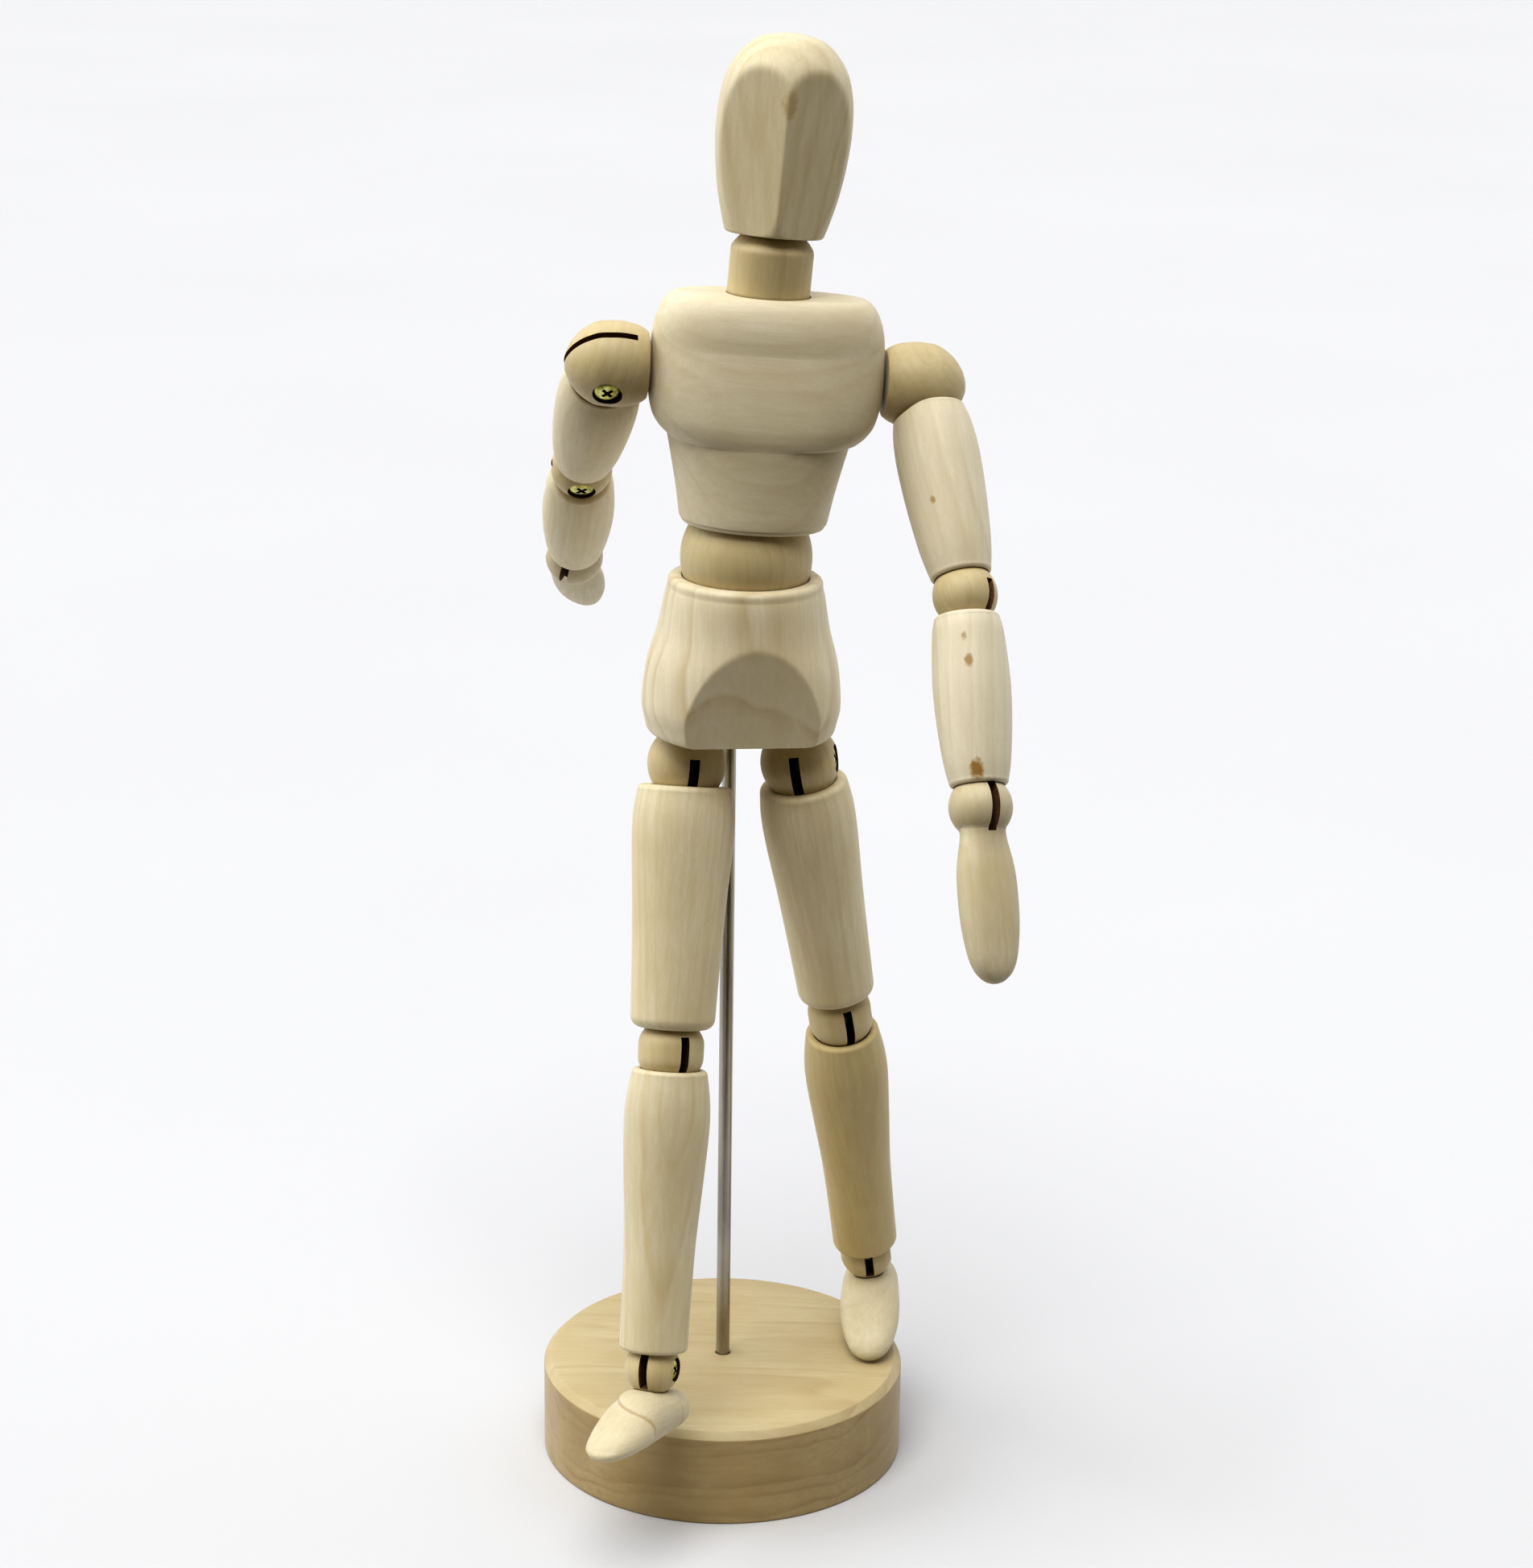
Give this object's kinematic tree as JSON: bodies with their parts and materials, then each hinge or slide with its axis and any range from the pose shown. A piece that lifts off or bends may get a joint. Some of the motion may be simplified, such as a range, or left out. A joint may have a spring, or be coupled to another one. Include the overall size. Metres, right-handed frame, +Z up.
{
  "type": "artist mannequin",
  "caption": "Jointed wooden human figure with ball joints at neck, waist and limbs, held over a round wooden base by a steel rod.",
  "frame": {"origin": "centre of the underside of the round base", "axes": "+Z up along the stand rod, the figure faces -Y and its own left side is towards +X"},
  "size_m": [0.1007, 0.1562, 0.3136],
  "materials": {
    "figure_wood": "satin",
    "ball_wood": "satin",
    "base_wood": "satin",
    "rod_steel": "satin",
    "fitting_steel": "satin",
    "screw_brass": "satin"
  },
  "bodies": {
    "base": {"base": "base_wood"},
    "stand_rod": {"stand_rod": "rod_steel"},
    "pelvis": {"pelvis": "figure_wood", "waist_spring": "fitting_steel"},
    "waist_stud": {"waist_stud": "fitting_steel"},
    "waist_ball": {"waist_ball": "ball_wood"},
    "torso": {"torso": "figure_wood", "neck_spring": "fitting_steel"},
    "neck_stud": {"neck_stud": "fitting_steel"},
    "neck_ball": {"neck_ball": "ball_wood"},
    "head": {"head": "figure_wood"},
    "shoulder_r": {"shoulder_ball_r": "ball_wood", "shoulder_screw_r": "screw_brass"},
    "upper_arm_r": {"upper_arm_r": "figure_wood", "upper_arm_tongue_r": "fitting_steel"},
    "elbow_r": {"elbow_ball_r": "ball_wood", "elbow_screw_r": "screw_brass"},
    "forearm_r": {"forearm_r": "figure_wood", "forearm_tongue_r": "fitting_steel"},
    "wrist_r": {"wrist_tongue_r": "fitting_steel"},
    "hand_r": {"hand_r": "figure_wood", "wrist_screw_r": "screw_brass"},
    "hip_stud_r": {"hip_stud_r": "fitting_steel"},
    "hip_r": {"hip_ball_r": "ball_wood", "hip_screw_r": "screw_brass"},
    "thigh_r": {"thigh_r": "figure_wood", "thigh_tongue_r": "fitting_steel"},
    "knee_r": {"knee_ball_r": "ball_wood", "knee_screw_r": "screw_brass"},
    "calf_r": {"calf_r": "figure_wood", "calf_tongue_r": "fitting_steel"},
    "ankle_tongue_r": {"ankle_tongue_r": "fitting_steel"},
    "ankle_r": {"ankle_ball_r": "ball_wood", "ankle_screw_r": "screw_brass"},
    "foot_r": {"foot_r": "figure_wood"},
    "shoulder_l": {"shoulder_ball_l": "ball_wood", "shoulder_screw_l": "screw_brass"},
    "upper_arm_l": {"upper_arm_l": "figure_wood", "upper_arm_tongue_l": "fitting_steel"},
    "elbow_l": {"elbow_ball_l": "ball_wood", "elbow_screw_l": "screw_brass"},
    "forearm_l": {"forearm_l": "figure_wood", "forearm_tongue_l": "fitting_steel"},
    "wrist_l": {"wrist_tongue_l": "fitting_steel"},
    "hand_l": {"hand_l": "figure_wood", "wrist_screw_l": "screw_brass"},
    "hip_stud_l": {"hip_stud_l": "fitting_steel"},
    "hip_l": {"hip_ball_l": "ball_wood", "hip_screw_l": "screw_brass"},
    "thigh_l": {"thigh_l": "figure_wood", "thigh_tongue_l": "fitting_steel"},
    "knee_l": {"knee_ball_l": "ball_wood", "knee_screw_l": "screw_brass"},
    "calf_l": {"calf_l": "figure_wood", "calf_tongue_l": "fitting_steel"},
    "ankle_tongue_l": {"ankle_tongue_l": "fitting_steel"},
    "ankle_l": {"ankle_ball_l": "ball_wood", "ankle_screw_l": "screw_brass"},
    "foot_l": {"foot_l": "figure_wood"}
  },
  "joints": [
    {"name": "figure_turn", "type": "hinge", "parent": "base", "child": "stand_rod", "pos_m": [0, 0, 0.0214], "axis": [0, 0, 1], "continuous": true},
    {"name": "figure_height", "type": "slide", "parent": "stand_rod", "child": "pelvis", "axis": [0, 0, 1], "range_m": [0, 0.015]},
    {"name": "waist_turn", "type": "hinge", "parent": "pelvis", "child": "waist_stud", "pos_m": [0.00324, -0.01212, 0.20779], "axis": [0.0241, 0.0042, 0.9997], "range_deg": [-42, 48]},
    {"name": "waist_lean", "type": "hinge", "parent": "waist_stud", "child": "waist_ball", "pos_m": [0.00324, -0.01212, 0.20779], "axis": [-0.1219, 0.9925, -0.0013], "range_deg": [-12.1, 7.9]},
    {"name": "waist_bend", "type": "hinge", "parent": "waist_ball", "child": "torso", "pos_m": [0.00324, -0.01212, 0.20779], "axis": [0.9907, 0.1216, -0.061], "range_deg": [-14.5, 17.5]},
    {"name": "neck_turn", "type": "hinge", "parent": "torso", "child": "neck_stud", "pos_m": [0.00739, -0.00999, 0.26641], "axis": [0.0572, 0.0347, 0.9978], "range_deg": [-75, 85]},
    {"name": "neck_lean", "type": "hinge", "parent": "neck_stud", "child": "neck_ball", "pos_m": [0.00739, -0.00999, 0.26641], "axis": [-0.0366, 0.9988, -0.0326], "range_deg": [-11.5, 8.5]},
    {"name": "neck_nod", "type": "hinge", "parent": "neck_ball", "child": "head", "pos_m": [0.00739, -0.00999, 0.26641], "axis": [0.9959, 0.0337, -0.0845], "range_deg": [-17.5, 22.5]},
    {"name": "shoulder_swing_r", "type": "hinge", "parent": "torso", "child": "shoulder_r", "pos_m": [-0.02547, -0.01458, 0.2481], "axis": [0.9907, 0.1216, -0.061], "range_deg": [-210, 20]},
    {"name": "arm_raise_r", "type": "hinge", "parent": "shoulder_r", "child": "upper_arm_r", "pos_m": [-0.02547, -0.01458, 0.2481], "axis": [-0.0578, 0.7822, 0.6204], "range_deg": [-1, 89]},
    {"name": "elbow_turn_r", "type": "hinge", "parent": "upper_arm_r", "child": "elbow_r", "pos_m": [-0.03234, 0.0203, 0.21891], "axis": [0.1494, -0.7582, 0.6347], "continuous": true},
    {"name": "elbow_bend_r", "type": "hinge", "parent": "elbow_r", "child": "forearm_r", "pos_m": [-0.03234, 0.0203, 0.21891], "axis": [0.0273, -0.6385, -0.7691], "range_deg": [-56, 48]},
    {"name": "wrist_turn_r", "type": "hinge", "parent": "forearm_r", "child": "wrist_r", "pos_m": [-0.03582, 0.05352, 0.1912], "axis": [0.0801, -0.7655, 0.6384], "continuous": true},
    {"name": "wrist_bend_r", "type": "hinge", "parent": "wrist_r", "child": "hand_r", "pos_m": [-0.03582, 0.05352, 0.1912], "axis": [-0.9279, 0.1768, 0.3283], "range_deg": [-33, 57]},
    {"name": "hip_turn_r", "type": "hinge", "parent": "pelvis", "child": "hip_stud_r", "pos_m": [-0.00866, -0.01422, 0.16377], "axis": [0.0241, 0.0042, 0.9997], "range_deg": [-24, 20]},
    {"name": "hip_spread_r", "type": "hinge", "parent": "hip_stud_r", "child": "hip_r", "pos_m": [-0.00866, -0.01422, 0.16377], "axis": [-0.2079, 0.9781, 0.0009], "range_deg": [-4.4, 7.6]},
    {"name": "hip_swing_r", "type": "hinge", "parent": "hip_r", "child": "thigh_r", "pos_m": [-0.00866, -0.01422, 0.16377], "axis": [0.9731, 0.2069, -0.101], "range_deg": [-37, 67]},
    {"name": "knee_turn_r", "type": "hinge", "parent": "thigh_r", "child": "knee_r", "pos_m": [-0.01118, -0.03066, 0.10581], "axis": [0.0418, 0.2727, 0.9612], "range_deg": [-74, 46]},
    {"name": "knee_bend_r", "type": "hinge", "parent": "knee_r", "child": "calf_r", "pos_m": [-0.01118, -0.03066, 0.10581], "axis": [0.8894, 0.4281, -0.1601], "range_deg": [-20.5, 41.5]},
    {"name": "ankle_turn_r", "type": "hinge", "parent": "calf_r", "child": "ankle_tongue_r", "pos_m": [-0.01424, -0.04837, 0.04147], "axis": [0.0458, 0.2651, 0.9631], "range_deg": [-14, 106]},
    {"name": "ankle_bend_r", "type": "hinge", "parent": "ankle_tongue_r", "child": "ankle_r", "pos_m": [-0.01424, -0.04837, 0.04147], "axis": [0.945, -0.3241, 0.0443], "range_deg": [-33, 17]},
    {"name": "foot_turn_r", "type": "hinge", "parent": "ankle_r", "child": "foot_r", "pos_m": [-0.01424, -0.04837, 0.04147], "axis": [0.0003, 0.1362, 0.9907], "range_deg": [-31, 49]},
    {"name": "shoulder_swing_l", "type": "hinge", "parent": "torso", "child": "shoulder_l", "pos_m": [0.03905, -0.0067, 0.24293], "axis": [0.9907, 0.1216, -0.061], "range_deg": [-137, 93]},
    {"name": "arm_raise_l", "type": "hinge", "parent": "shoulder_l", "child": "upper_arm_l", "pos_m": [0.03905, -0.0067, 0.24293], "axis": [0.1347, -0.8131, 0.5664], "range_deg": [-9.5, 80.5]},
    {"name": "elbow_turn_l", "type": "hinge", "parent": "upper_arm_l", "child": "elbow_l", "pos_m": [0.04745, -0.0316, 0.20518], "axis": [-0.1825, 0.5415, 0.8207], "continuous": true},
    {"name": "elbow_bend_l", "type": "hinge", "parent": "elbow_l", "child": "forearm_l", "pos_m": [0.04745, -0.0316, 0.20518], "axis": [0.6205, 0.7109, -0.3311], "range_deg": [-60, 44]},
    {"name": "wrist_turn_l", "type": "hinge", "parent": "forearm_l", "child": "wrist_l", "pos_m": [0.05069, -0.05216, 0.16709], "axis": [-0.0746, 0.4738, 0.8775], "continuous": true},
    {"name": "wrist_bend_l", "type": "hinge", "parent": "wrist_l", "child": "hand_l", "pos_m": [0.05069, -0.05216, 0.16709], "axis": [0.8999, 0.4111, -0.1455], "range_deg": [-44, 46]},
    {"name": "hip_turn_l", "type": "hinge", "parent": "pelvis", "child": "hip_stud_l", "pos_m": [0.01497, -0.01005, 0.16318], "axis": [0.0241, 0.0042, 0.9997], "range_deg": [-5, 25]},
    {"name": "hip_spread_l", "type": "hinge", "parent": "hip_stud_l", "child": "hip_l", "pos_m": [0.01497, -0.01005, 0.16318], "axis": [-0.1218, -0.9925, 0.0071], "range_deg": [-1.5, 2.1]},
    {"name": "hip_swing_l", "type": "hinge", "parent": "hip_l", "child": "thigh_l", "pos_m": [0.01497, -0.01005, 0.16318], "axis": [0.9816, -0.1194, 0.1489], "range_deg": [-59.5, 44.5]},
    {"name": "knee_turn_l", "type": "hinge", "parent": "thigh_l", "child": "knee_l", "pos_m": [0.02471, -0.00374, 0.10401], "axis": [-0.1615, -0.1046, 0.9813], "range_deg": [-83, 37]},
    {"name": "knee_bend_l", "type": "hinge", "parent": "knee_l", "child": "calf_l", "pos_m": [0.02471, -0.00374, 0.10401], "axis": [0.9433, 0.2759, 0.1847], "range_deg": [-29.5, 32.5]},
    {"name": "ankle_turn_l", "type": "hinge", "parent": "calf_l", "child": "ankle_tongue_l", "pos_m": [0.03215, 0.01368, 0.03995], "axis": [-0.1114, -0.2609, 0.9589], "range_deg": [-48, 72]},
    {"name": "ankle_bend_l", "type": "hinge", "parent": "ankle_tongue_l", "child": "ankle_l", "pos_m": [0.03215, 0.01368, 0.03995], "axis": [0.9877, 0.0775, 0.1359], "range_deg": [-20.4, 1]},
    {"name": "foot_turn_l", "type": "hinge", "parent": "ankle_l", "child": "foot_l", "pos_m": [0.03215, 0.01368, 0.03995], "axis": [-0.1199, -0.1829, 0.9758], "range_deg": [-32, 48]}
  ]
}
